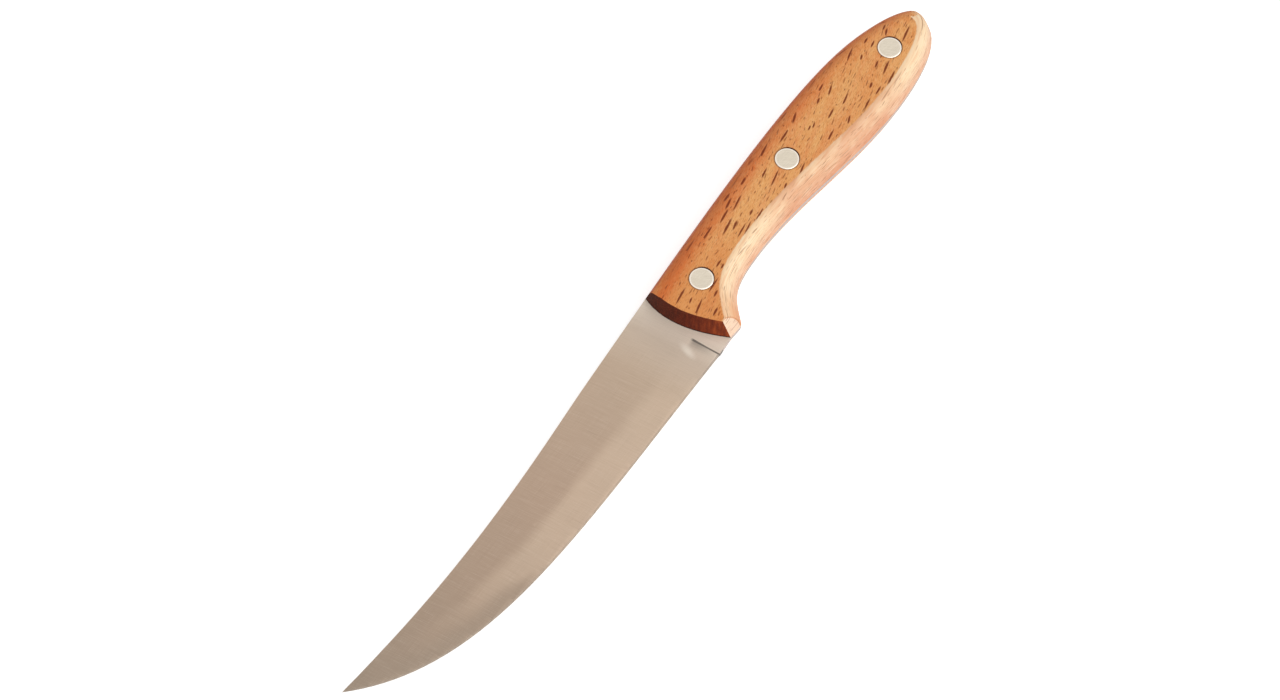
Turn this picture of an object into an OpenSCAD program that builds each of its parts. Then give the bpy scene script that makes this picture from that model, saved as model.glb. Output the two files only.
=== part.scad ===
// Tomato knife: an upswept blade with a full tang, two beech scales and three two-piece rivets.
// The knife lies on its side. +X runs from the tip to the butt, +Y from the edge to the spine.
// Its shape is drawn with the foremost point of the handle at x = 0, the straight part of the
// spine at y = 0 and the middle of the steel at z = 0. All sizes are millimetres.

/* [Blade] */
// Length of the blade in front of the handle
blade_len = 141.6; // [120:0.1:170]
// Height of the blade at its heel
heel_h = 26.7; // [24:0.1:30]
// Height of the tip above the straight part of the spine
tip_rise = 7; // [3:0.1:11]
// Length of the straight spine in front of the handle
straight_len = 30; // [20:1:45]
// Thickness of the sheet steel
stock_t = 1.5; // [1:0.1:2.5]
// Angle of the spine to the handle at the tip
tip_spine_angle = 11; // [6:0.1:14]
// Angle of the edge to the handle at the tip
tip_edge_angle = 49.8; // [40:0.1:58]
// Angle of the edge to the handle at the heel
heel_edge_angle = 4; // [2:0.1:7]

/* [Grind] */
// Height of the ground band above the edge
bevel_h = 9.5; // [6:0.1:14]
// Half the width of the soft line where the ground band meets the flank
bevel_soft = 1.2; // [0.5:0.1:2]
// Thickness left at the foot of the ground band
edge_t = 0.34; // [0.2:0.01:0.6]
// Height of the honed edge
hone_h = 0.5; // [0.3:0.05:0.9]
// Thickness of the honed edge at its very end
hone_t = 0.08; // [0.04:0.01:0.15]
// Distance of the plunge line in front of the handle
plunge_gap = 1.8; // [1:0.1:5]
// Length over which the grind runs out at the plunge line
plunge_len = 1.6; // [0.8:0.1:3]

/* [Handle outline] */
// Length of the handle
handle_len = 122.6; // [112:0.1:136]
// Distance of the scale's front corner on the spine behind the foremost point
brow_back = 2.3; // [1:0.1:4]
// Distance of the scale's front corner on the edge side behind the foremost point
foot_back = 4.1; // [2:0.1:5]
// Depth below the spine at which the bowed front is fullest
bow_drop = 10.2; // [8:0.1:14]
// Distance of the spur's toe behind the foremost point
toe_back = 9.1; // [8:0.1:12]
// Depth of the spur's toe below the edge
toe_drop = 0.6; // [0.3:0.1:1.5]
// Length of the rounding at the spur's toe
toe_round = 1; // [0.6:0.1:1.4]
// Angle at which the finger notch leaves the spur's toe
notch_angle = 43; // [37:1:50]
// Distance of the narrowest grip behind the foremost point
grip_back = 27; // [24:0.1:32]
// Width of the handle at the narrowest grip
grip_w = 19.5; // [17:0.1:22]
// Distance of the swell behind the foremost point
swell_back = 98.5; // [88:0.1:104]
// Depth of the swell below the spine
swell_drop = 29.5; // [26:0.05:33]
// Depth of the butt's hindmost point below the spine
butt_drop = 19.2; // [17:0.1:21]
// Distance of the shoulder in front of the butt
shoulder_gap = 11.1; // [10:0.1:15]
// Depth of the shoulder below the spine
shoulder_drop = 9.6; // [8:0.05:11]
// Angle of the outline to the spine at the shoulder
shoulder_angle = 23; // [18:1:28]

/* [Scale section] */
// Thickness of one scale
scale_t = 7.5; // [5:0.1:10]
// Angle off upright at which the walls leave the tang
wall_lean = 16; // [8:1:20]
// Distance from the outline in to the eased rim of the flat on the belly side
belly_inset = 3.2; // [2.6:0.1:4.1]
// Angle off upright of the belly wall where it reaches the rim
belly_lean = 50; // [40:1:60]
// Distance from the outline in to the eased rim of the flat on the spine side
spine_inset = 4.3; // [3.6:0.1:5]
// Angle off upright of the spine wall where it reaches the rim
spine_lean = 70; // [60:1:76]
// Distance from the outline in to the eased rim of the flat at the butt
butt_inset = 3.9; // [3.2:0.1:4.6]
// Distance from the underside of the spur in to the flat, across the sanded facet
spur_inset = 2.5; // [2:0.1:3.2]
// Distance from the outline in to the flat where the finger notch meets the spur
notch_inset = 5; // [4.5:0.1:5.5]
// Distance by which the front wall leans back at the flat
front_lean = 0.7; // [0.2:0.1:1.5]
// Width over which the rim of the flat is eased
rim_ease = 1.1; // [0.3:0.1:1.8]
// Height over which the rim of the flat is eased
rim_ease_h = 1.3; // [0.5:0.1:2]

/* [Rivets] */
// Diameter of a rivet's head
head_d = 7; // [6:0.1:8]
// Thickness of a rivet's head
head_t = 1.4; // [1:0.1:2]
// Width of the chamfer round a rivet's head
head_chamfer = 0.15; // [0.05:0.01:0.3]
// Diameter of the rivet's solid post
post_d = 3.2; // [2.5:0.1:3.6]
// Outer diameter of the rivet's tube
tube_d = 4.8; // [4.2:0.1:5.4]
// Gap between the tube's end and the post's head, and between the post's end and the tube's floor
seat_gap = 0.4; // [0.2:0.1:1]
// Clearance all round a rivet in the wood and the tang
rivet_fit = 0.05; // [0.02:0.01:0.1]
// Clearance all round the post in its tube
post_fit = 0.02; // [0.01:0.01:0.05]
// Distance of the front rivet behind the foremost point of the handle
front_rivet_back = 12.4; // [10:0.1:15]
// Distance of the butt rivet in front of the butt
butt_rivet_gap = 17.3; // [16:0.1:24]
// Distance of the middle rivet in front of the point midway between the other two
middle_rivet_shift = 0.7; // [0:0.1:2]
// Distance of the front rivet below the middle of the flat
front_rivet_low = 0.3; // [0:0.05:1]
// Distance of the butt rivet below the middle of the flat
butt_rivet_low = 0.15; // [0:0.05:1]

/* [Hidden] */
$fn = 64;

half_t = stock_t/2;
face_z = half_t + scale_t;
butt_rivet_back = handle_len - butt_rivet_gap;
rivet_backs = [
    front_rivet_back,
    (front_rivet_back + butt_rivet_back)/2 - middle_rivet_shift,
    butt_rivet_back
];
rivet_lows = [front_rivet_low, 0, butt_rivet_low];
// Distance from the outer face of a rivet's head to the far end of its post or tube
shank_end = 2*face_z - head_t - seat_gap;

// How far each curve keeps the direction of its ends, as a share of the span it covers
edge_hold = [0.49, 0.28];
spine_hold = [0.45, 0.17];
belly_hold = [0.36, 0.34];
butt_hold = [0.68, 0.66];
nose_hold = [0.2, 0.8];
back_hold = [0.13, 0.73];
notch_hold = [0.44, 0.55];

// Number of points along each stretch of the outline
edge_n = 40;
spine_n = 24;
front_n = 12;
underside_n = 3;
toe_n = 4;
notch_n = 10;
belly_n = 18;
butt_n = 12;
nose_n = 8;
back_n = 20;
// Heights of a scale's sections, as a share of its thickness: up the wall, then round the rim
rim_share = rim_ease_h/scale_t;
section_heights = concat(
    [for (h = [0, 0.3, 0.56, 0.78, 0.92]) h*(1 - rim_share)],
    [for (h = [0, 0.35, 0.62, 0.81, 0.94, 1]) mix(1 - rim_share, 1, h)]
);

// Distances in front of the plunge line at which the grind has a section
ground_len = blade_len - plunge_gap;
run_out = [0, 0.04, 0.15, 0.32, 0.6, 1]*plunge_len;
station_n = 36;
stations = concat(
    run_out,
    [for (i = [1:station_n]) mix(plunge_len, ground_len, 1 - pow(1 - i/(station_n + 1), 1.5))]
);
// Share of the soft line after which the grind runs straight, and the share at which it ends
soft_end = 0.85;
soft_past = 2;
// How far the grind cuts outside the steel
out_rise = 0.02;
out_h = 1;
grind_rises = concat(
    [-out_h, 0, hone_h],
    [for (soft = [0, 0.3, 0.6, soft_end, soft_past]) bevel_h + (2*soft - 1)*bevel_soft]
);

// Plain curve tools
function mix(a, b, t) = a + (b - a)*t;
function dir(angle) = [cos(angle), sin(angle)];
function bez(p, t) =
    len(p) == 1 ? p[0] : bez([for (i = [0:len(p) - 2]) mix(p[i], p[i + 1], t)], t);
// Direction in which a curve runs at a parameter
function heading(p, t) = bez([for (i = [0:len(p) - 2]) p[i + 1] - p[i]], t);
// Points of a curve without its last one, which the next curve starts from
function stretch(p, n) = [for (i = [0:n - 1]) bez(p, i/n)];
// Parameter at which a curve that rises or falls all along reaches a value of x or y
function t_where(p, axis, value, low = 0, high = 1, n = 22) =
    let (
        mid = (low + high)/2,
        way = p[len(p) - 1][axis] - p[0][axis],
        past = (bez(p, mid)[axis] - value)*way > 0
    )
    n == 0 ? mid
    : past ? t_where(p, axis, value, low, mid, n - 1)
    : t_where(p, axis, value, mid, high, n - 1);
function reversed(points) = [for (i = [1:len(points)]) points[len(points) - i]];
function lowest(points, axis) = min([for (p = points) p[axis]]);
function highest(points, axis) = max([for (p = points) p[axis]]);

// Blade curves
tip = [-blade_len, tip_rise];
heel = [-plunge_gap, -heel_h];
edge_curve = [
    heel,
    heel + edge_hold[0]*blade_len*dir(180 - heel_edge_angle),
    tip + edge_hold[1]*blade_len*dir(-tip_edge_angle),
    tip
];
spine_span = blade_len - straight_len;
spine_curve = [
    [-straight_len, 0],
    [-straight_len - spine_hold[1]*spine_span, 0],
    tip + spine_hold[0]*spine_span*dir(-tip_spine_angle),
    tip
];

// Share of its inset that a wall has reached at height h, for its lean at the tang and at the flat.
// The two limits keep the wall bowed outwards.
function share(h, inset, face_lean) =
    let (
        start = min(0.95, scale_t*tan(wall_lean)/inset),
        end = scale_t*tan(face_lean)/inset,
        power = max(1, (end - start)/(1 - start))
    )
    start*h + (1 - start)*pow(h, power);

// Share of the eased width that the rim has taken at height h
function eased(h) = let (rise = max(0, 1 - (1 - h)/rim_share)) 1 - sqrt(1 - rise*rise);

// Bowed front of the scales, from the spine to the edge side
front_curve = [[brow_back, 0], [-sqrt(brow_back*foot_back), -bow_drop], [foot_back, -heel_h]];

// Outline of a scale at height h, which is 0 at the tang and 1 at the flat
function outline(h) =
    let (
        rim_in = rim_ease*eased(h),
        spine_in = spine_inset*share(h, spine_inset, spine_lean) + rim_in,
        belly_in = belly_inset*share(h, belly_inset, belly_lean) + rim_in,
        butt_in = butt_inset*share(h, butt_inset, spine_lean) + rim_in,
        notch_in = notch_inset*share(h, notch_inset, belly_lean),
        lean = [front_lean*h, 0],
        foot_drop = heel_h - spur_inset*h,
        t_brow = t_where(front_curve, 1, -spine_in),
        t_foot = t_where(front_curve, 1, -foot_drop),
        brow = bez(front_curve, t_brow) + lean,
        foot = bez(front_curve, t_foot) + lean,
        toe_rise = (spur_inset + toe_drop)*h,
        toe = [
            toe_back + toe_rise/tan(notch_angle) - notch_in/sin(notch_angle),
            toe_rise - heel_h - toe_drop
        ],
        toe_reach = toe_round*(1 - h/2),
        toe_start = toe + toe_reach*(foot - toe)/norm(foot - toe),
        toe_end = toe + toe_reach*dir(notch_angle),
        grip = [grip_back, -grip_w + belly_in],
        notch_span = grip[0] - toe_end[0],
        swell = [swell_back, -swell_drop + belly_in],
        belly_span = swell[0] - grip[0],
        nose = [handle_len - butt_in, -butt_drop],
        butt_span = [nose[0] - swell[0], nose[1] - swell[1]],
        shoulder = [handle_len - shoulder_gap, -shoulder_drop] - spine_in*dir(90 - shoulder_angle),
        nose_span = norm(shoulder - nose),
        back_span = shoulder[0] - brow[0]
    )
    concat(
        [for (i = [0:front_n - 1]) bez(front_curve, mix(t_brow, t_foot, i/front_n)) + lean],
        stretch([foot, toe_start], underside_n),
        stretch([toe_start, toe, toe_end], toe_n),
        stretch([
            toe_end, toe_end + notch_hold[0]*notch_span*dir(notch_angle),
            grip - [notch_hold[1]*notch_span, 0], grip
        ], notch_n),
        stretch([
            grip, grip + [belly_hold[0]*belly_span, 0],
            swell - [belly_hold[1]*belly_span, 0], swell
        ], belly_n),
        stretch([
            swell, swell + [butt_hold[0]*butt_span[0], 0],
            nose - [0, butt_hold[1]*butt_span[1]], nose
        ], butt_n),
        stretch([
            nose, nose + [0, nose_hold[0]*(shoulder[1] - nose[1])],
            shoulder + nose_hold[1]*(nose[0] - shoulder[0])*dir(-shoulder_angle), shoulder
        ], nose_n),
        stretch([
            shoulder, shoulder + back_hold[0]*back_span*dir(180 - shoulder_angle),
            brow + [back_hold[1]*back_span, 0], brow
        ], back_n)
    );

tang_outline = outline(0);
flat_outline = outline(1);

// Middle of the flat at a distance behind the front, where a rivet stands
function crossings(points, x) = [
    for (i = [0:len(points) - 1])
        let (a = points[i], b = points[(i + 1) % len(points)])
        if ((a[0] - x)*(b[0] - x) < 0) mix(a, b, (x - a[0])/(b[0] - a[0]))[1]
];
function flat_middle(x) = let (ys = crossings(flat_outline, x)) (min(ys) + max(ys))/2;
rivet_spots = [
    for (i = [0:len(rivet_backs) - 1])
        [rivet_backs[i], flat_middle(rivet_backs[i]) - rivet_lows[i]]
];

// The part's origin: the middle of its length and width, on the surface it lies on
origin = [
    (highest(tang_outline, 0) + tip[0])/2,
    (max(tip_rise, highest(tang_outline, 1)) + lowest(tang_outline, 1))/2,
    -face_z
];

// Solid through a row of rings that all have the same number of points
module loft(rings) {
    n = len(rings[0]);
    walls = [
        for (r = [0:len(rings) - 2], i = [0:n - 1])
            let (a = r*n + i, b = r*n + (i + 1) % n)
            each [[a, b + n, b], [a, a + n, b + n]]
    ];
    first_cap = [for (i = [0:n - 1]) i];
    last_cap = [for (i = [1:n]) len(rings)*n - i];
    polyhedron(
        points = [for (ring = rings) each ring],
        faces = concat(walls, [first_cap, last_cap])
    );
}

// Steel sheet as it is stamped: the blade and the full tang in one
module sheet() {
    translate([0, 0, -half_t])
        linear_extrude(stock_t)
            polygon(concat(
                stretch(edge_curve, edge_n),
                stretch(reversed(spine_curve), spine_n),
                [spine_curve[0], front_curve[0]],
                reversed([for (i = [front_n:len(tang_outline) - 1]) tang_outline[i]])
            ));
}

// Half thickness that the grind leaves at a distance above the edge. The soft upper line bends it
// almost level, and from there it runs on straight and comes out through the flank.
bevel_slope = (half_t - edge_t/2)/(bevel_h - hone_h);
function ground_half(d) =
    let (
        soft = (d - bevel_h + bevel_soft)/(2*bevel_soft),
        bend = soft <= 0 ? 0 : soft < soft_end ? soft*soft : soft_end*(2*soft - soft_end)
    )
    d < hone_h ? mix(hone_t, edge_t, max(0, d)/hone_h)/2
    : edge_t/2 + bevel_slope*(d - hone_h - bevel_soft*bend);

// How far the grind has come in at a distance in front of the plunge line, from 0 to 1
function grind_in(gap) = gap >= plunge_len ? 1 : sqrt(1 - pow(1 - gap/plunge_len, 2));

// Upright section of what the grind takes off the upper side, over a point of the edge
function ground_off(foot, along, grind) =
    let (
        steep = norm(along)/abs(along[0]),
        side = [
            for (d = grind_rises)
                [foot[1] + d*steep, mix(half_t + out_rise, ground_half(d), grind)]
        ]
    )
    concat(
        [for (p = [side[0], side[len(side) - 1]]) [foot[0], p[0], half_t + out_h]],
        [for (p = reversed(side)) [foot[0], p[0], p[1]]]
    );

module grind_cut() {
    rings = [
        for (gap = stations)
            let (
                t = gap == 0 ? 0 : t_where(edge_curve, 0, heel[0] - gap),
                foot = bez(edge_curve, t)
            )
            ground_off(foot, heading(edge_curve, t), grind_in(gap))
    ];
    past_tip = dir(180 - tip_edge_angle);
    loft(concat(rings, [ground_off(tip + past_tip, past_tip, 1)]));
}

module rivet_holes(z, depth, diameter) {
    for (spot = rivet_spots)
        translate([spot[0], spot[1], z])
            cylinder(h = depth, d = diameter);
}

// Scale above the tang, with a seat for each head and a hole for each tube
module scale_solid() {
    difference() {
        loft([
            for (h = section_heights)
                [for (p = outline(h)) [p[0], p[1], half_t + h*scale_t]]
        ]);
        rivet_holes(half_t - 1, scale_t + 2, tube_d + 2*rivet_fit);
        rivet_holes(face_z - head_t, head_t + 1, head_d + 2*rivet_fit);
    }
}

// Round head whose outer face lies at z = 0 and whose underside lies at z = head_t
module rivet_head() {
    rotate_extrude()
        polygon([
            [0, 0], [head_d/2 - head_chamfer, 0], [head_d/2, head_chamfer],
            [head_d/2, head_t], [0, head_t]
        ]);
}

module place() {
    translate(-origin) children();
}

module blade() {
    color("#b8a898") place()
        difference() {
            sheet();
            grind_cut();
            mirror([0, 0, 1]) grind_cut();
            rivet_holes(-half_t - 1, stock_t + 2, tube_d + 2*rivet_fit);
        }
}

module upper_scale() {
    color("#d98f54") place() scale_solid();
}

module lower_scale() {
    color("#d08850") place() mirror([0, 0, 1]) scale_solid();
}

// Upper half of a rivet: a head with a solid post that points down
module rivet_post(spot) {
    color("#dcd6cc") place()
        translate([spot[0], spot[1], face_z])
            mirror([0, 0, 1])
                union() {
                    rivet_head();
                    translate([0, 0, head_t/2])
                        cylinder(h = shank_end - head_t/2, d = post_d);
                }
}

// Lower half of a rivet: a head with a tube that points up
module rivet_socket(spot) {
    color("#cfc9bf") place()
        translate([spot[0], spot[1], -face_z])
            difference() {
                union() {
                    rivet_head();
                    translate([0, 0, head_t/2])
                        cylinder(h = shank_end - head_t/2, d = tube_d);
                }
                translate([0, 0, head_t])
                    cylinder(h = 2*face_z, d = post_d + 2*post_fit);
            }
}

blade();
upper_scale();
lower_scale();
rivet_post(rivet_spots[0]);  // front_rivet_post
rivet_socket(rivet_spots[0]);  // front_rivet_socket
rivet_post(rivet_spots[1]);  // middle_rivet_post
rivet_socket(rivet_spots[1]);  // middle_rivet_socket
rivet_post(rivet_spots[2]);  // butt_rivet_post
rivet_socket(rivet_spots[2]);  // butt_rivet_socket
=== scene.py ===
# Kitchen knife with an upswept blade, a full tang and beech scales held by flush rivets.
# The frame gives the place of every piece. Fine shapes and patterns are set in millimetres, which MM
# turns into metres.

import math
from bisect import bisect_left

import bmesh
import bpy
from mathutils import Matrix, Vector
from mathutils.geometry import intersect_point_line


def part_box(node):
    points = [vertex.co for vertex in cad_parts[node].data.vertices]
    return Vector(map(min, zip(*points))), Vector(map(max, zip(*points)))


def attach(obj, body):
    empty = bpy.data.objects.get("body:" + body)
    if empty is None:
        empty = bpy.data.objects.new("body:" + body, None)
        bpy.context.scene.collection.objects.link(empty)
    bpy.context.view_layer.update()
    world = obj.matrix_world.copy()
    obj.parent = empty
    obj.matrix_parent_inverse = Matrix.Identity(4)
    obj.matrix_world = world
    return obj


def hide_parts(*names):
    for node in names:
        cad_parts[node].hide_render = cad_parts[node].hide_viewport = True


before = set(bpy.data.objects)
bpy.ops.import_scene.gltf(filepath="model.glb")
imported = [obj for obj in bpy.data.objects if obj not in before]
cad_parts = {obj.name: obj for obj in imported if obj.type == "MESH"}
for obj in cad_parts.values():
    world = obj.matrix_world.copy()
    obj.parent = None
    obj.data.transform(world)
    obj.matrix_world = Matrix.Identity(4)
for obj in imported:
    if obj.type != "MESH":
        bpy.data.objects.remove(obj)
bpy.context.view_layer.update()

MM = 0.001
BODY = "root"
RIVETS = ("front", "middle", "butt")

# Photograph's view: 1280 by 700 pixels through a long lens
LENS = 120
SENSOR_W = 36
AIM = Vector((-2.5, 4.3, 8.25))*MM
CAMERA_DISTANCE = 1185.2*MM
CLIP_START = 50*MM
HEADING = math.radians(58.593)
ELEVATION = math.radians(62)

# Light: an even fill, a floor that shows as white, and one large lamp on the side of the edge, in
# metres and watts
FILL_STRENGTH = 0.57
FLOOR_REACH = 3
FLOOR_GLOW = 0.62
LAMP_TOWARD = (-0.12, -0.8, 0.6)
LAMP_DISTANCE = 3.6
LAMP_SIZE = 6
LAMP_POWER = 130

# Places taken from the frame
BLADE_LOW, BLADE_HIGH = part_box("blade")
MIDDLE_Z = (BLADE_LOW.z + BLADE_HIGH.z)/2
FRONT_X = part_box("upper_scale")[0].x

# Grind of the blade, as in the frame's own sheet of steel
BEVEL_H = 9.5*MM
HONE_HALF_T = 0.06*MM
PLUNGE_GAP = 1.8*MM

# Fine shapes of the surface
EDGE_HALF_T = 0.01*MM
FRONT_ARRIS = 0.15*MM
SEAT_ARRIS = 0.07*MM
SEAT_REACH = 3.8*MM
SEAT_RIM_ANGLE = math.radians(60)
FLAT_RIM = 0.12*MM
GRID = 2*MM

# Turned rivets, in millimetres: head, post, and the tube that the post is pressed into
HEAD_R = 3.5
HEAD_T = 1.4
POST_R = 1.6
TUBE_R = 2.4
BORE_R = 1.62
TURNING_STEPS = 72

# Gaps that count as none, and the share of a normal from which a face looks along an axis, looks
# to the front, or belongs to the front's sanded arris
MERGE_GAP = 0.002*MM
CUT_GAP = 0.005*MM
LEVEL_GAP = 0.001*MM
FACING = 0.7
FRONT_FACING = 0.5
ARRIS_FACING = 0.4


def rivet_centre(which):
    low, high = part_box(which + "_rivet_post")
    return (low + high)/2


RIVET_CENTRES = [rivet_centre(which) for which in RIVETS]


# Mesh work


def merged_copy(node):
    """A bmesh of a frame node with its loose triangles joined."""
    bm = bmesh.new()
    bm.from_mesh(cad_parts[node].data)
    bmesh.ops.remove_doubles(bm, verts=bm.verts, dist=MERGE_GAP)
    bm.normal_update()
    return bm


def join_faces(bm, picked, degrees):
    """Joins neighbouring faces of one kind that lie nearly in one plane."""
    inner = [e for e in bm.edges if len(e.link_faces) == 2 and all(picked(f) for f in e.link_faces)]
    verts = {v for e in inner for v in e.verts}
    bmesh.ops.dissolve_limit(
        bm, angle_limit=math.radians(degrees), use_dissolve_boundaries=False,
        verts=list(verts), edges=inner,
    )
    bm.normal_update()


def cut_grid(bm, picked, low, high):
    """Cuts the picked faces along a grid, so that they can carry values from place to place."""
    for axis in (0, 1):
        facing = Vector((axis == 0, axis == 1, 0))
        for step in range(1, int((high[axis] - low[axis])/GRID) + 1):
            faces = [f for f in bm.faces if picked(f)]
            edges = {e for f in faces for e in f.edges}
            verts = {v for f in faces for v in f.verts}
            bmesh.ops.bisect_plane(
                bm, geom=[*verts, *edges, *faces], dist=CUT_GAP,
                plane_co=facing*(low[axis] + step*GRID), plane_no=facing,
            )
    bmesh.ops.triangulate(bm, faces=[f for f in bm.faces if len(f.verts) > 4])


def distance_to(place, line):
    """Distance, seen square to the flat, from a place to a line of short straight pieces."""
    nearest = math.inf
    spot = place.xy
    for start, end in line:
        share = max(0, min(1, intersect_point_line(spot, start, end)[1]))
        nearest = min(nearest, (start.lerp(end, share) - spot).length)
    return nearest


def finished(bm, name, crease):
    """Turns a bmesh into a smooth-shaded object, creased where faces meet at more than crease degrees."""
    mesh = bpy.data.meshes.new(name)
    bm.to_mesh(mesh)
    bm.free()
    if "custom_normal" in mesh.attributes:
        mesh.attributes.remove(mesh.attributes["custom_normal"])
    mesh.shade_smooth()
    mesh.set_sharp_from_angle(angle=math.radians(crease))
    piece = bpy.data.objects.new(name, mesh)
    bpy.context.scene.collection.objects.link(piece)
    return piece


def fit_piece(piece, node, material):
    """Puts a finished piece in the place of its frame node."""
    piece.data.materials.append(material)
    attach(piece, BODY)
    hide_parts(node)


# Scales


def near_seat(place):
    return any((place - centre).xy.length < SEAT_REACH for centre in RIVET_CENTRES)


def at_seat(edge):
    return near_seat((edge.verts[0].co + edge.verts[1].co)/2)


def sand_front(bm, flat_z):
    """Rounds the arris between the front and the flat."""
    front = {v for f in bm.faces if f.normal.x < -FACING for v in f.verts}
    for vert in front:
        depth = FRONT_ARRIS - abs(vert.co.z - flat_z)
        if depth > 0:
            vert.co.x += FRONT_ARRIS - math.sqrt(FRONT_ARRIS**2 - depth**2)
    bm.normal_update()


def break_seat_rims(bm, on_flat):
    """Bevels the rims of the rivet seats."""
    rims = [
        e for e in bm.edges if at_seat(e) and e.calc_face_angle(0) > SEAT_RIM_ANGLE
        and any(on_flat(f) for f in e.link_faces)
    ]
    bmesh.ops.bevel(
        bm, geom=rims, offset=SEAT_ARRIS, offset_type="OFFSET", segments=1,
        affect="EDGES", profile=0.5, material=-1, clamp_overlap=False,
    )


def wall_lines(bm, on_flat):
    """Where the flat meets the wall, on the belly side and on the spine side."""
    belly_line, spine_line = [], []
    for edge in bm.edges:
        walls = [f.normal for f in edge.link_faces if not on_flat(f)]
        if len(walls) == 1 and walls[0].x > -ARRIS_FACING and not at_seat(edge):
            ends = tuple(v.co.xy for v in edge.verts)
            (belly_line if walls[0].y < 0 else spine_line).append(ends)
    return belly_line, spine_line


def note_walls(bm, on_flat, flat_z):
    """Has each vertex carry whether it is on a wall, and how far it is from either wall."""
    belly_line, spine_line = wall_lines(bm, on_flat)
    wall_share = bm.verts.layers.float.new("wall_share")
    from_belly = bm.verts.layers.float.new("from_belly")
    from_spine = bm.verts.layers.float.new("from_spine")
    for vert in bm.verts:
        depth = abs(vert.co.z - flat_z)
        beside_wall = any(abs(f.normal.y) > FACING for f in vert.link_faces)
        in_front = any(f.normal.x < -FRONT_FACING for f in vert.link_faces)
        # Below the sanded arris, the border of the front belongs to the wall
        in_front = in_front and (depth < FRONT_ARRIS or not beside_wall)
        on_wall = depth > LEVEL_GAP and not (near_seat(vert.co) or in_front)
        below = on_wall and vert.normal.y < 0
        above = on_wall and vert.normal.y >= 0
        vert[wall_share] = 1 if on_wall else 0
        vert[from_belly] = 0 if below else distance_to(vert.co, belly_line)/MM
        vert[from_spine] = 0 if above else distance_to(vert.co, spine_line)/MM


def beech_scale(node, name):
    """One scale, with the arris of its front and the rims of its rivet seats broken by sanding."""
    bm = merged_copy(node)
    low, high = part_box(node)
    # The flat is on the side away from the tang
    flat_z = max(low.z, high.z, key=lambda z: abs(z - MIDDLE_Z))

    def on_flat(face):
        return all(abs(v.co.z - flat_z) < LEVEL_GAP for v in face.verts)

    sand_front(bm, flat_z)
    join_faces(bm, on_flat, 0.1)
    break_seat_rims(bm, on_flat)
    bmesh.ops.inset_region(
        bm, faces=[f for f in bm.faces if on_flat(f)], thickness=FLAT_RIM,
        use_even_offset=True, use_boundary=True,
    )
    bmesh.ops.triangulate(bm, faces=[f for f in bm.faces if on_flat(f)])
    cut_grid(bm, on_flat, low, high)
    bm.normal_update()
    note_walls(bm, on_flat, flat_z)
    return finished(bm, name, crease=32)


# Blade


def edge_line(bm):
    """Places along X of the sharp edge, with their heights in Y."""
    points = sorted({
        (v.co.x, v.co.y) for v in bm.verts
        if 0 < v.co.z - MIDDLE_Z < 2*EDGE_HALF_T and v.co.x < FRONT_X - PLUNGE_GAP
    })
    return [p[0] for p in points], [p[1] for p in points]


def above_edge(place, xs, ys):
    """Distance of a place above the edge, square to the edge."""
    i = min(max(bisect_left(xs, place.x), 1), len(xs) - 1)
    run, rise = xs[i] - xs[i - 1], ys[i] - ys[i - 1]
    foot_y = ys[i - 1] + rise*max(0, min(1, (place.x - xs[i - 1])/run))
    return (place.y - foot_y)*run/math.hypot(run, rise)


def steel_blade():
    """Blade and tang. The hone is brought to a keen edge, and a fine grid carries each place's
    distance above the edge."""
    bm = merged_copy("blade")
    for vert in bm.verts:
        off = vert.co.z - MIDDLE_Z
        if abs(off) < HONE_HALF_T:
            vert.co.z = MIDDLE_Z + math.copysign(EDGE_HALF_T, off)
    bm.normal_update()

    def on_flank(face):
        return abs(face.normal.z) > FACING

    cut_grid(bm, on_flank, BLADE_LOW, Vector((FRONT_X, BLADE_HIGH.y, 0)))
    xs, ys = edge_line(bm)
    layer = bm.verts.layers.float.new("above_edge")
    for vert in bm.verts:
        vert[layer] = above_edge(vert.co, xs, ys)/MM
    return finished(bm, "steel_blade", crease=30)


# Rivets


def turned_rivet(which, half):
    """Half of a rivet, turned round its axis: a sanded head with a bright rim, and its shank."""
    node = f"{which}_rivet_{half}"
    low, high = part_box(node)
    centre = (low + high)/2
    up = half == "post"
    face_z, way = (high.z, -1) if up else (low.z, 1)
    end = (high.z - low.z)/MM

    # Radius and depth below the face, from the middle of the head to the middle of the far end
    profile = [
        (0, 0.03), (1.6, 0.025), (2.75, 0.012), (3.1, 0), (3.28, 0.015), (3.42, 0.07), (HEAD_R, 0.17),
        (HEAD_R, HEAD_T - 0.06), (HEAD_R - 0.06, HEAD_T),
    ]
    if up:
        profile += [(POST_R, HEAD_T), (POST_R, end - 0.3), (POST_R - 0.25, end), (0, end)]
    else:
        profile += [
            (TUBE_R, HEAD_T), (TUBE_R, end - 0.15), (TUBE_R - 0.1, end), (BORE_R + 0.13, end),
            (BORE_R, end - 0.15), (BORE_R, HEAD_T), (0, HEAD_T),
        ]
    bm = bmesh.new()
    verts = [
        bm.verts.new((centre.x + radius*MM, centre.y, face_z + way*depth*MM))
        for radius, depth in profile
    ]
    edges = [bm.edges.new(pair) for pair in zip(verts, verts[1:])]
    bmesh.ops.spin(
        bm, geom=verts + edges, cent=centre, axis=(0, 0, 1), angle=math.tau, steps=TURNING_STEPS,
        use_merge=True,
    )
    bmesh.ops.remove_doubles(bm, verts=bm.verts, dist=MERGE_GAP)
    bmesh.ops.recalc_face_normals(bm, faces=bm.faces)
    return finished(bm, node + "_turned", crease=40)


# Surfaces


def colour(red, green, blue):
    """A colour as it is read off a screen, from 0 to 255, turned linear."""
    def linear(value):
        value /= 255
        return value/12.92 if value <= 0.04045 else ((value + 0.055)/1.055)**2.4
    return tuple(linear(value) for value in (red, green, blue))


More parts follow.
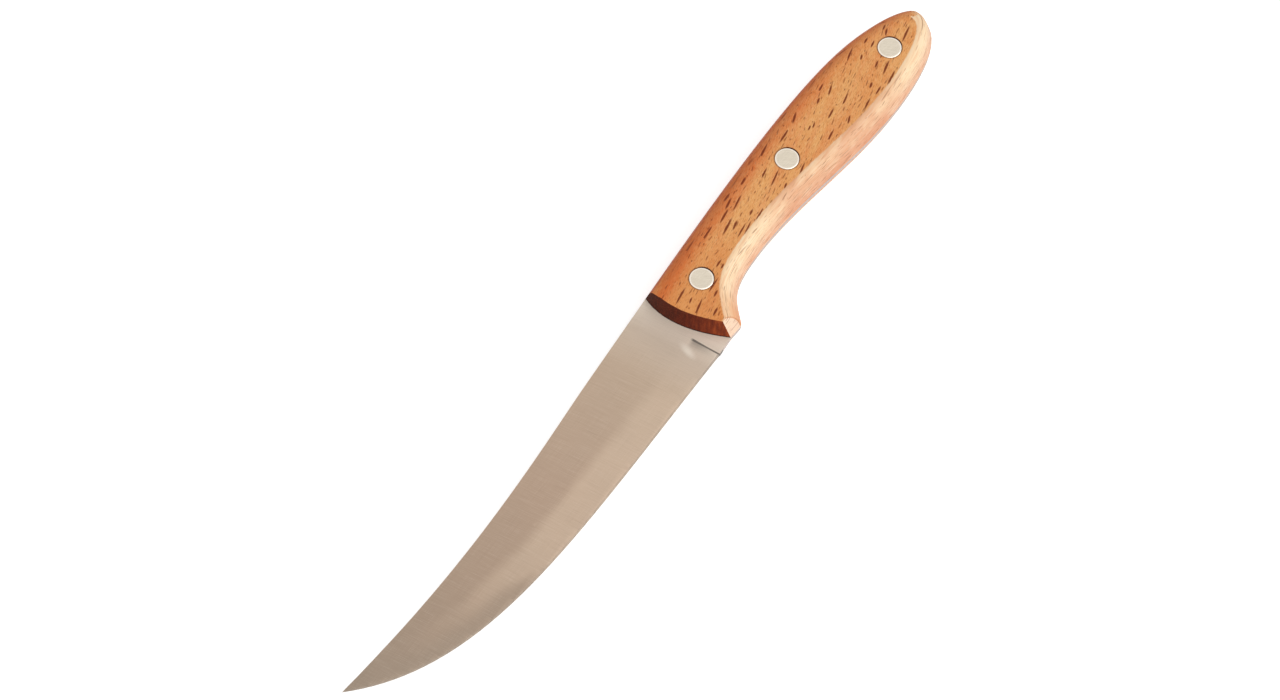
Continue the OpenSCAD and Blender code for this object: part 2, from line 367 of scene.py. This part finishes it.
class Recipe:
    """A node material, with patterns that are laid on the piece in millimetres."""

    def __init__(self, name):
        self.material = bpy.data.materials.new(name)
        self.material.use_nodes = True
        self.tree = self.material.node_tree
        self.shader = self.tree.nodes["Principled BSDF"]
        self.place = self.vector("SCALE", self.add("ShaderNodeTexCoord").outputs["Object"], scale=1/MM)

    def add(self, kind, **settings):
        node = self.tree.nodes.new(kind)
        for key, value in settings.items():
            setattr(node, key, value)
        return node

    def feed(self, socket, value):
        if isinstance(value, bpy.types.NodeSocket):
            self.tree.links.new(value, socket)
        elif socket.type == "RGBA":
            socket.default_value = (*value, 1)
        else:
            socket.default_value = value

    def vector(self, operation, a, b=None, scale=None):
        node = self.add("ShaderNodeVectorMath", operation=operation)
        self.feed(node.inputs[0], a)
        if b is not None:
            self.feed(node.inputs[1], b)
        if scale is not None:
            self.feed(node.inputs["Scale"], scale)
        return node.outputs["Value" if operation in ("LENGTH", "DISTANCE") else "Vector"]

    def math(self, operation, a, b=0.0):
        node = self.add("ShaderNodeMath", operation=operation)
        self.feed(node.inputs[0], a)
        self.feed(node.inputs[1], b)
        return node.outputs[0]

    def plus(self, a, b):
        return self.math("ADD", a, b)

    def less(self, a, b):
        return self.math("SUBTRACT", a, b)

    def most(self, a, b):
        return self.math("MAXIMUM", a, b)

    def times(self, *values):
        product = values[0]
        for value in values[1:]:
            product = self.math("MULTIPLY", product, value)
        return product

    def swing(self, pattern, width):
        """Turns a pattern that runs from 0 to 1 into one that swings evenly round 0."""
        return self.times(self.less(pattern, 0.5), width)

    def ease(self, value, low, high, to_low=0.0, to_high=1.0):
        """Runs smoothly from to_low to to_high while value goes from low to high."""
        node = self.add("ShaderNodeMapRange", interpolation_type="SMOOTHSTEP")
        for socket, number in zip(node.inputs, (value, low, high, to_low, to_high)):
            self.feed(socket, number)
        return node.outputs["Result"]

    def parts(self, vector):
        node = self.add("ShaderNodeSeparateXYZ")
        self.feed(node.inputs[0], vector)
        return node.outputs

    def join(self, x=0.0, y=0.0, z=0.0):
        node = self.add("ShaderNodeCombineXYZ")
        for socket, value in zip(node.inputs, (x, y, z)):
            self.feed(socket, value)
        return node.outputs["Vector"]

    def facing(self):
        return self.parts(self.add("ShaderNodeNewGeometry").outputs["Normal"])

    def carried(self, name):
        """A value that the mesh's vertices carry."""
        return self.add("ShaderNodeAttribute", attribute_name=name).outputs["Fac"]

    def from_rivets(self):
        """Distance from the axis of the nearest rivet."""
        flat_place = self.vector("MULTIPLY", self.place, (1, 1, 0))
        nearest = None
        for centre in RIVET_CENTRES:
            gap = self.vector("DISTANCE", flat_place, (*(centre/MM).xy, 0))
            nearest = gap if nearest is None else self.math("MINIMUM", nearest, gap)
        return nearest

    def laid(self, size, turn=0.0, vector=None):
        """Place for a pattern whose unit is size along X, Y and Z, turned in the plane of the flat."""
        node = self.add("ShaderNodeMapping", vector_type="TEXTURE")
        self.feed(node.inputs["Vector"], vector or self.place)
        node.inputs["Rotation"].default_value = (0, 0, math.radians(turn))
        node.inputs["Scale"].default_value = size
        return node.outputs["Vector"]

    def noise(self, vector, detail=2.0, roughness=0.5):
        node = self.add("ShaderNodeTexNoise")
        self.feed(node.inputs["Vector"], vector)
        node.inputs["Scale"].default_value = 1
        node.inputs["Detail"].default_value = detail
        node.inputs["Roughness"].default_value = roughness
        return node.outputs["Fac"]

    def specks(self, vector, cell, share, length, width):
        """Ovals scattered one to a cell, in the given share of the cells. Each has its own length,
        round the given one, and its own lean."""
        node = self.add("ShaderNodeTexVoronoi", feature="F1", voronoi_dimensions="2D")
        laid = self.vector("DIVIDE", vector, (*cell, 1))
        self.feed(node.inputs["Vector"], laid)
        node.inputs["Scale"].default_value = 1
        away = self.vector("SUBTRACT", laid, node.outputs["Position"])
        away = self.parts(self.vector("MULTIPLY", away, (*cell, 0)))
        pick = self.parts(node.outputs["Color"])
        half_length = self.ease(pick["Z"], 0.0, 1.0, length*0.2, length*0.68)
        along = self.math("DIVIDE", away["X"], half_length)
        lean = self.times(self.less(pick["Y"], 0.5), away["X"], 0.25)
        across = self.math("DIVIDE", self.less(away["Y"], lean), width/2)
        reach = self.vector("LENGTH", self.join(along, across))
        return self.times(self.ease(reach, 1.1, 0.5), self.math("LESS_THAN", pick["X"], share))

    def blend(self, amount, a, b):
        node = self.add("ShaderNodeMix", data_type="RGBA")
        for socket, value in zip((node.inputs[0], node.inputs[6], node.inputs[7]), (amount, a, b)):
            self.feed(socket, value)
        return node.outputs[2]

    def tinted(self, tone, where, strength, tint):
        """A tone that turns towards a tint by the given strength, where a mask is 1."""
        return self.blend(self.times(where, strength), tone, colour(*tint))

    def ramp(self, value, stops):
        """Colours along a value: pairs of the value and the colour there, from 0 on."""
        last = stops[-1][0]
        node = self.add("ShaderNodeValToRGB")
        self.feed(node.inputs[0], self.math("DIVIDE", value, last))
        elements = node.color_ramp.elements
        while len(elements) < len(stops):
            elements.new(0.5)
        for element, (at, tone) in zip(elements, stops):
            element.position = at/last
            element.color = (*colour(*tone), 1)
        return node.outputs["Color"]

    def bump(self, height, depth):
        """Bump whose height of 1 stands for depth in metres."""
        node = self.add("ShaderNodeBump")
        self.feed(node.inputs["Height"], height)
        node.inputs["Strength"].default_value = 1
        node.inputs["Distance"].default_value = depth
        self.feed(self.shader.inputs["Normal"], node.outputs["Normal"])


class OiledBeech(Recipe):
    """Beech whose grain turns towards the spine as it runs to the butt. Each scale is its own board,
    so the lower one takes its patterns from further on."""

    BOARD_SHIFT = (47, 31)
    WALL_SHIFT = 29
    SPUR_Y = -16

    def __init__(self):
        super().__init__("oiled_beech")
        self.x, self.y, self.z = self.parts(self.place)
        self.back = self.less(self.x, FRONT_X/MM)
        self.rise = self.math("ABSOLUTE", self.less(self.z, MIDDLE_Z/MM))
        self.board = self.math("LESS_THAN", self.z, MIDDLE_Z/MM)
        self.normal = self.facing()
        self.level = self.math("ABSOLUTE", self.normal["Z"])
        self.lay_grain()
        self.find_walls()
        self.set_shader()

    def lay_grain(self):
        turn = self.plus(self.times(self.back, 0.09), self.times(self.back, self.back, 0.00045))
        wobble = self.swing(self.noise(self.laid((16, 6, 6)), detail=1), 1.8)
        grain_y = self.plus(self.less(self.y, turn), wobble)
        self.grain = self.join(
            self.plus(self.x, self.times(self.board, self.BOARD_SHIFT[0])),
            self.plus(grain_y, self.times(self.board, self.BOARD_SHIFT[1])),
            self.z,
        )
        self.mottle = self.noise(self.laid((13, 3, 3), vector=self.grain), detail=3)
        self.fibre = self.noise(self.laid((1.6, 0.22, 0.22), vector=self.grain), detail=3, roughness=0.6)

    def find_walls(self):
        """The belly side is cut across pale wood and is painted lighter as the side the light falls on;
        the spine side and the front are cut across dark wood and are painted darker as the sides in shade.
        Both reach onto the border of the flat."""
        walled = self.ease(self.carried("wall_share"), 0.3, 0.9)
        self.wall = self.times(walled, self.ease(self.level, 0.985, 0.86))
        self.belly_wall = self.times(self.wall, self.ease(self.normal["Y"], 0.4, -0.5))
        self.spine_wall = self.times(self.ease(self.normal["Y"], -0.1, 0.8), walled)
        self.front = self.times(
            self.ease(self.normal["X"], -0.2, -0.5), self.ease(self.normal["Y"], -0.75, -0.5),
        )
        near_flat = self.ease(self.level, 0.6, 0.85)
        jitter = self.plus(self.swing(self.fibre, 1.6), self.swing(self.mottle, 0.8))
        off_belly = self.plus(self.carried("from_belly"), self.times(jitter, 0.5))
        # Pale tone and painted light of the belly side, reaching onto the flat's border
        pale_lit_fringe = self.times(self.ease(off_belly, 0.45, 0.05), near_flat)
        self.belly = self.most(self.belly_wall, pale_lit_fringe)
        off_spine = self.plus(self.carried("from_spine"), self.times(jitter, 2.0))
        # Darker wood and painted shade of the spine side, reaching onto the flat, less towards the butt
        flush = self.times(
            self.ease(off_spine, 4.2, -1.2, 0.0, 0.9), self.ease(self.back, 50, 100, 1.0, 0.35), near_flat,
        )
        self.spine = self.most(self.spine_wall, flush)

    def flat_wood(self):
        """Tone of the flat and the spine side, with painted shade on the spine side, and the flecks,
        dashes and pores of the flat.
        """
        bands = self.noise(self.laid((90, 2.6, 6), vector=self.grain))
        thread = self.noise(self.laid((0.7, 0.1, 0.1), vector=self.grain))
        tone = self.blend(self.ease(self.mottle, 0.32, 0.68), colour(229, 149, 82), colour(237, 171, 103))
        tone = self.tinted(tone, self.ease(bands, 0.45, 0.68), 0.4, (230, 142, 88))
        tone = self.tinted(tone, self.ease(self.fibre, 0.45, 0.75), 0.6, (250, 200, 142))
        tone = self.tinted(tone, self.ease(self.fibre, 0.5, 0.25), 0.6, (182, 100, 44))
        tone = self.tinted(tone, self.ease(thread, 0.52, 0.75), 0.4, (252, 206, 150))
        tone = self.tinted(tone, self.ease(self.back, 34, 4), 0.4, (214, 122, 56))
        # The spine side is redder and darker: darker wood, and painted shade on the side away from the
        # light
        tone = self.tinted(tone, self.spine, 0.84, (208, 96, 38))
        tone = self.tinted(tone, self.spine_wall, 0.3, (168, 78, 34))

        ragged = self.vector("ADD", self.grain, self.join(0.0, self.swing(self.fibre, 0.35)))
        fleck = self.specks(ragged, (6.6, 2.2), share=0.46, length=5.2, width=0.74)
        dash = self.specks(ragged, (2.8, 1.1), share=0.34, length=2.0, width=0.4)
        pore = self.specks(self.grain, (1.5, 0.5), share=0.55, length=1.1, width=0.2)
        marks = self.most(self.times(pore, 0.35), self.times(dash, 0.6))
        marks = self.most(marks, self.times(fleck, 0.95))
        flat = self.less(1.0, self.most(self.wall, self.belly))
        return tone, self.times(marks, flat)

    def belly_wood_and_light(self):
        """Pale tone of the belly side, partly paler wood and partly painted light, with a painted sheen
        towards the flat, and its thin lines.
        """
        along_wall = self.join(
            self.plus(self.x, self.times(self.board, self.WALL_SHIFT)),
            self.plus(self.z, self.times(self.less(self.y, self.times(self.x, 0.2)), 0.1)),
        )
        fibre = self.noise(self.laid((7, 0.35, 0.35), vector=along_wall), detail=3)
        # Painted sheen: paler the higher the wall rises towards the flat
        tone = self.blend(self.ease(self.rise, 1.2, 6.6), colour(232, 176, 140), colour(248, 217, 176))
        tone = self.tinted(tone, self.ease(fibre, 0.45, 0.65), 0.45, (255, 235, 204))
        tone = self.tinted(tone, self.ease(fibre, 0.5, 0.32), 0.4, (223, 157, 117))
        tone = self.tinted(tone, self.ease(self.rise, 7.5, 8.2), 0.12, (233, 165, 109))
        blush = self.times(
            self.ease(self.back, 34, 50), self.ease(self.back, 104, 84),
            self.ease(self.mottle, 0.25, 0.6, 0.3, 1.0),
        )
        tone = self.tinted(tone, blush, 0.6, (218, 145, 105))

        # The spur has painted shade behind it, where the wall turns away from the light, and in its
        # crease, and a painted highlight on its facet, which is also paler grain
        spur_shade = self.times(self.ease(self.back, 17.0, 8.5), self.ease(self.rise, 7.5, 4.0, 0.4, 1.0))
        tone = self.tinted(tone, spur_shade, 0.7, (233, 157, 101))
        crease = self.times(
            self.ease(self.normal["X"], 0.06, 0.2), self.ease(self.normal["X"], 0.46, 0.26),
            self.ease(self.back, 9.4, 9.0),
        )
        tone = self.tinted(tone, crease, 0.6, (205, 130, 84))
        lit_facet = self.times(
            self.ease(self.normal["X"], 0.2, 0.06), self.ease(self.normal["Y"], -0.6, -0.75),
            self.ease(self.back, 9.2, 8.2),
        )
        tone = self.tinted(tone, lit_facet, 0.85, (248, 217, 190))

        line = self.specks(along_wall, (7.0, 1.2), share=0.5, length=5.0, width=0.26)
        short_line = self.specks(along_wall, (2.8, 0.5), share=0.6, length=2.2, width=0.16)
        marks = self.most(self.times(line, 0.65), self.times(short_line, 0.4))
        return tone, self.times(marks, self.wall, self.ease(self.normal["X"], 0.8, 0.5))

    def end_grain_and_shade(self, tone):
        """A tone with end grain laid over it, brown at the butt and dark red at the front, with painted
        shade on the front that darkens it towards the spine and turns it near black where it meets the
        tang.
        """
        dots = self.noise(self.laid((0.35, 0.35, 0.35)))
        butt_end = self.times(self.wall, self.ease(self.normal["X"], 0.5, 0.9))
        tone = self.tinted(tone, butt_end, 0.5, (202, 130, 78))
        tone = self.tinted(tone, self.times(butt_end, self.ease(dots, 0.48, 0.7)), 0.5, (138, 70, 34))

        # Painted shade: the dark red front darkens towards the spine, on the end turned away from the
        # light
        streaks = self.noise(self.laid((0.9, 0.9, 5)), detail=3)
        above_spur = self.less(self.plus(self.y, self.swing(streaks, 26)), self.SPUR_Y)
        dark = self.ramp(above_spur, (
            (0, (157, 68, 26)), (4, (126, 47, 15)), (12, (90, 24, 5)), (26, (58, 17, 4)),
        ))
        dark = self.tinted(dark, self.ease(dots, 0.42, 0.7), 0.45, (132, 62, 32))
        # Painted shade, near black, where the front meets the tang
        dark = self.blend(self.ease(self.rise, 1.5, 0.85), dark, colour(34, 14, 8))
        return self.blend(self.front, tone, dark)

    def set_shader(self):
        tone, flat_marks = self.flat_wood()
        pale, wall_marks = self.belly_wood_and_light()
        tone = self.blend(self.belly, tone, pale)
        marks = self.most(flat_marks, wall_marks)
        mark_tone = self.blend(self.belly_wall, colour(118, 44, 8), colour(150, 92, 62))
        tone = self.end_grain_and_shade(self.blend(marks, tone, mark_tone))
        # Painted shade in a ring round each rivet seat
        seat_shade = self.ease(self.from_rivets(), 4.0, 3.6)
        tone = self.tinted(tone, seat_shade, 0.6, (104, 62, 40))
        roughness = self.plus(self.ease(self.fibre, 0.3, 0.7, 0.56, 0.44), self.times(self.front, 0.3))
        self.feed(self.shader.inputs["Base Color"], tone)
        self.feed(self.shader.inputs["Roughness"], roughness)
        self.shader.inputs["Specular IOR Level"].default_value = 0.22
        self.bump(self.less(self.times(self.fibre, 0.5), self.times(marks, 0.8)), 0.05*MM)


def satin_steel():
    """Steel of the blade and the tang, in fine satin, with a painted reflection that is light by the
    handle and darker towards the tip.
    """
    r = Recipe("satin_steel")
    ahead = r.less(FRONT_X/MM, r.parts(r.place)["X"])
    height = r.carried("above_edge")
    level = r.math("ABSOLUTE", r.facing()["Z"])
    bevel = BEVEL_H/MM
    plunge = PLUNGE_GAP/MM
    ground = r.ease(ahead, plunge, plunge + 0.1)

    # Painted reflection: light by the handle, darker towards the tip
    tone = r.ramp(ahead, (
        (0, (234, 218, 200)), (7, (200, 181, 162)), (20, (186, 164, 143)),
        (60, (178, 154, 134)), (100, (169, 147, 128)), (142, (153, 137, 121)),
    ))

    # Painted reflection on the ground: lighter up to its soft upper line, and darker by the edge towards
    # the tip
    cloud = r.noise(r.laid((22, 9, 9)))
    upper_line = r.plus(bevel, r.swing(cloud, 2.4))
    under_line = r.ease(r.less(height, upper_line), 1.8, -2.4)
    dark_top = r.ease(ahead, 70, 98, -4.0, 4.4)
    lit = r.ease(r.less(height, dark_top), -2.6, 2.4)
    band = r.times(ground, under_line, lit, r.ease(ahead, 9, 26), r.ease(ahead, 120, 76))
    tone = r.tinted(tone, band, 0.54, (202, 180, 158))
    shade = r.times(r.less(1.0, lit), r.ease(ahead, 70, 84), r.ease(ahead, 138, 122))
    tone = r.tinted(tone, shade, 0.4, (156, 140, 124))

    # At the plunge line: painted shade in the run-out, a painted highlight just ahead of it, and a painted
    # dark line along the step
    run_out_shade = r.times(
        r.ease(ahead, plunge + 3.6, plunge + 0.2), r.ease(height, 9.4, 7.8),
        r.ease(height, -1.0, 7.5), ground,
    )
    tone = r.tinted(tone, run_out_shade, 0.75, (140, 128, 116))
    highlight_ahead = 5.6
    highlight_height = 7.9
    past_highlight = r.less(ahead, highlight_ahead)
    over_highlight = r.plus(r.less(height, highlight_height), r.times(past_highlight, 1.1))
    from_highlight = r.math(
        "SQRT", r.plus(r.times(past_highlight, past_highlight, 0.45), r.times(over_highlight, over_highlight, 0.2)),
    )
    tone = r.tinted(tone, r.times(r.ease(from_highlight, 1.5, 0.1), ground), 0.6, (240, 229, 214))
    # Painted shade along the plunge line, wider towards the spine
    half_width = r.ease(height, 3, 9, 0.2, 0.38)
    from_line = r.math("ABSOLUTE", r.less(ahead, plunge + 0.16))
    line = r.times(
        r.ease(r.less(from_line, half_width), 0.04, -0.1), r.ease(height, bevel - 0.1, bevel - 1.2),
    )
    tone = r.tinted(tone, line, 0.85, (84, 76, 70))

    # Painted shade along the hone; the walls of the sheet are darker at the heel, partly their stamped
    # skin and partly painted shade, and paler between the scales
    hone = r.times(r.ease(height, 0.62, 0.4), ground)
    tone = r.tinted(tone, hone, 0.6, (142, 130, 118))
    stamped_and_shaded = r.blend(r.ease(ahead, 0.3, -0.3), colour(112, 103, 95), colour(196, 180, 172))
    tone = r.blend(r.ease(level, 0.7, 0.35), tone, stamped_and_shaded)

    # Satin scratches, most of them across the blade
    streak = r.noise(r.laid((0.1, 7, 7), 4), detail=3, roughness=0.65)
    drag = r.noise(r.laid((12, 0.09, 9), -4), roughness=0.6)
    grain = r.plus(r.times(streak, 0.65), r.times(drag, 0.35))
    tone = r.tinted(tone, r.ease(grain, 0.5, 0.72), 0.3, (222, 206, 190))
    tone = r.tinted(tone, r.ease(grain, 0.5, 0.3), 0.25, (128, 112, 98))
    r.feed(r.shader.inputs["Base Color"], tone)

    # The rolled skin of the sheet is left dull by the handle
    r.feed(r.shader.inputs["Metallic"], r.ease(ahead, 2, 18, 0.15, 1.0))
    worn = r.ease(cloud, 0.3, 0.7, 0.34, 0.44)
    r.feed(r.shader.inputs["Roughness"], r.plus(worn, r.ease(ahead, 16, 3, 0.0, 0.15)))
    r.bump(grain, 0.003*MM)
    return r.material


def rivet_metal():
    """Metal of the rivets, sanded flush, with a painted highlight on its polished rim and painted shade on
    the outer side of the head.
    """
    r = Recipe("sanded_rivet_metal")
    away = r.from_rivets()
    scratch = r.noise(r.laid((0.06, 2.5, 2.5), 25), detail=3)
    across = r.noise(r.laid((2.5, 0.08, 2.5), -12))
    wear = r.plus(r.times(scratch, 0.6), r.times(across, 0.4))
    tone = r.blend(r.ease(wear, 0.35, 0.65), colour(208, 197, 178), colour(227, 216, 198))
    # Painted highlight round the rim
    tone = r.blend(r.ease(away, 2.9, 3.15), tone, colour(243, 232, 218))
    # Painted shade on the outer side of the head, where it meets the seat
    tone = r.blend(r.ease(away, 3.42, 3.5), tone, colour(96, 84, 74))
    r.feed(r.shader.inputs["Base Color"], tone)
    r.shader.inputs["Metallic"].default_value = 1
    r.feed(r.shader.inputs["Roughness"], r.ease(away, 2.8, 3.2, 0.4, 0.26))
    r.bump(wear, 0.004*MM)
    return r.material


# Stage, light and camera


def seen_directly(nodes, links):
    """1 for what the camera sees, straight or mirrored in metal or glass."""
    path = nodes.new("ShaderNodeLightPath")
    seen = path.outputs["Is Camera Ray"]
    for ray in ("Is Glossy Ray", "Is Transmission Ray"):
        either = nodes.new("ShaderNodeMath")
        either.operation = "MAXIMUM"
        links.new(seen, either.inputs[0])
        links.new(path.outputs[ray], either.inputs[1])
        seen = either.outputs[0]
    return seen


def white_world():
    """White where it is seen, and a plain fill for everything else."""
    world = bpy.data.worlds.new("studio")
    bpy.context.scene.world = world
    world.use_nodes = True
    nodes, links = world.node_tree.nodes, world.node_tree.links
    strength = nodes.new("ShaderNodeMapRange")
    links.new(seen_directly(nodes, links), strength.inputs["Value"])
    strength.inputs["To Min"].default_value = FILL_STRENGTH
    strength.inputs["To Max"].default_value = 1
    links.new(strength.outputs["Result"], nodes["Background"].inputs["Strength"])
    nodes["Background"].inputs["Color"].default_value = (1, 1, 1, 1)


def white_floor():
    mesh = bpy.data.meshes.new("floor")
    bm = bmesh.new()
    bmesh.ops.create_grid(bm, x_segments=1, y_segments=1, size=FLOOR_REACH)
    bm.to_mesh(mesh)
    bm.free()
    floor = bpy.data.objects.new("floor", mesh)
    bpy.context.scene.collection.objects.link(floor)
    r = Recipe("white_floor")
    r.shader.inputs["Base Color"].default_value = (*colour(222, 222, 222), 1)
    r.shader.inputs["Roughness"].default_value = 0.9
    r.shader.inputs["Emission Color"].default_value = (1, 1, 1, 1)
    seen = seen_directly(r.tree.nodes, r.tree.links)
    r.feed(r.shader.inputs["Emission Strength"], r.times(seen, FLOOR_GLOW))
    mesh.materials.append(r.material)


def soft_lamp():
    data = bpy.data.lights.new("key", "AREA")
    data.shape = "SQUARE"
    data.size = LAMP_SIZE
    data.energy = LAMP_POWER
    lamp = bpy.data.objects.new("key", data)
    direction = Vector(LAMP_TOWARD).normalized()
    lamp.location = AIM + direction*LAMP_DISTANCE
    lamp.rotation_euler = (-direction).to_track_quat("-Z", "Y").to_euler()
    bpy.context.scene.collection.objects.link(lamp)


def photograph_camera():
    data = bpy.data.cameras.new("camera")
    data.lens = LENS
    data.sensor_width = SENSOR_W
    data.clip_start = CLIP_START
    camera = bpy.data.objects.new("camera", data)
    level = math.cos(ELEVATION)
    back = Vector((-level*math.sin(HEADING), -level*math.cos(HEADING), math.sin(ELEVATION)))
    camera.location = AIM + back*CAMERA_DISTANCE
    camera.rotation_euler = (-back).to_track_quat("-Z", "Y").to_euler()
    bpy.context.scene.collection.objects.link(camera)
    bpy.context.scene.camera = camera


bpy.context.scene.view_settings.view_transform = "Standard"
photograph_camera()
white_world()
white_floor()
soft_lamp()

wood = OiledBeech().material
fit_piece(beech_scale("upper_scale", "upper_beech_scale"), "upper_scale", wood)
fit_piece(beech_scale("lower_scale", "lower_beech_scale"), "lower_scale", wood)
fit_piece(steel_blade(), "blade", satin_steel())
metal = rivet_metal()
for which in RIVETS:
    for half in ("post", "socket"):
        fit_piece(turned_rivet(which, half), f"{which}_rivet_{half}", metal)
